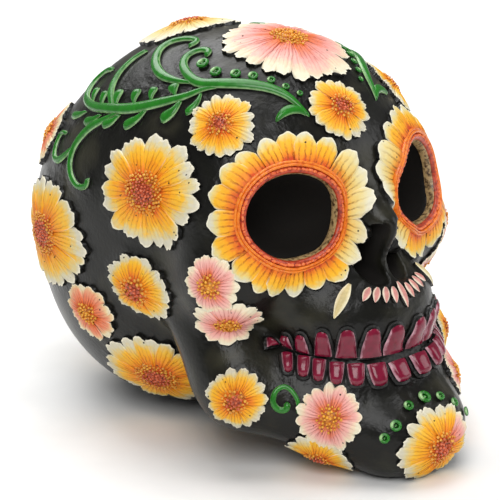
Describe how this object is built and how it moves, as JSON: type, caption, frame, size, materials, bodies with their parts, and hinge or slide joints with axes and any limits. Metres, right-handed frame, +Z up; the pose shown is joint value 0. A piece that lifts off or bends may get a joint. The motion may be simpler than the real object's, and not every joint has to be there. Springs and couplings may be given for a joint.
{
  "type": "sugar skull ornament",
  "caption": "Resin sugar skull, hollow behind the face, with moulded flowers round the eyes and over the head, vines, beads and two rows of teeth, standing on felt pads.",
  "frame": {"origin": "under the middle of the ornament's box, on the surface it stands on", "axes": "+Z up, the face looks along -Y, +X towards the skull's own left side"},
  "size_m": [0.098, 0.1602, 0.118],
  "materials": {
    "black_resin": "satin black painted resin with a faint olive grey sheen",
    "yellow_petals": "painted yellow petals, orange at the base, cream tips, dark antiquing",
    "cream_petals": "painted cream petals with dark antiquing",
    "pink_petals": "painted pink petals with cream tips",
    "salmon_petals": "painted salmon petals with cream tips",
    "green_vine": "glossy green paint, dry-brushed pale on its edges",
    "magenta_teeth": "glossy magenta enamel paint",
    "felt": "black pressed felt"
  },
  "bodies": {
    "root": {"cranium_shell": "black_resin", "face_casting": "black_resin", "lower_jaw": "black_resin", "base_felt": "felt", "chin_felt": "felt", "upper_tooth_row": "magenta_teeth", "lower_tooth_row": "magenta_teeth", "crown_flower": "pink_petals", "forehead_flower": "yellow_petals", "chin_flower": "yellow_petals", "back_crown_flower": "cream_petals", "rear_flower": "yellow_petals", "occiput_flower": "cream_petals", "chin_bead_row": "green_vine", "eye_sunflower_right": "yellow_petals", "eye_sunflower_left": "yellow_petals", "brow_flower_right": "yellow_petals", "brow_flower_left": "yellow_petals", "temple_flower_right": "yellow_petals", "temple_flower_left": "yellow_petals", "rear_side_flower_right": "yellow_petals", "rear_side_flower_left": "yellow_petals", "rear_salmon_flower_right": "salmon_petals", "rear_salmon_flower_left": "salmon_petals", "ear_flower_right": "yellow_petals", "ear_flower_left": "yellow_petals", "nape_flower_right": "salmon_petals", "nape_flower_left": "salmon_petals", "occiput_low_flower_right": "yellow_petals", "occiput_low_flower_left": "yellow_petals", "jaw_hinge_flower_right": "yellow_petals", "jaw_hinge_flower_left": "yellow_petals", "cheek_upper_flower_right": "pink_petals", "cheek_upper_flower_left": "pink_petals", "cheek_lower_flower_right": "pink_petals", "cheek_lower_flower_left": "pink_petals", "jaw_pink_flower_right": "pink_petals", "jaw_pink_flower_left": "pink_petals", "jaw_yellow_flower_right": "yellow_petals", "jaw_yellow_flower_left": "yellow_petals", "vine_scroll_right": "green_vine", "vine_scroll_left": "green_vine", "jaw_curl_right": "green_vine", "jaw_curl_left": "green_vine", "nose_side_petal_right": "cream_petals", "nose_side_petal_left": "cream_petals", "brow_bead_row_right": "green_vine", "brow_bead_row_left": "green_vine", "nose_petal_1": "pink_petals", "nose_petal_2": "pink_petals", "nose_petal_3": "pink_petals", "nose_petal_4": "pink_petals", "nose_petal_5": "pink_petals", "nose_petal_6": "pink_petals", "nose_petal_7": "pink_petals", "nose_petal_8": "pink_petals", "nose_petal_9": "pink_petals"}
  },
  "joints": []
}
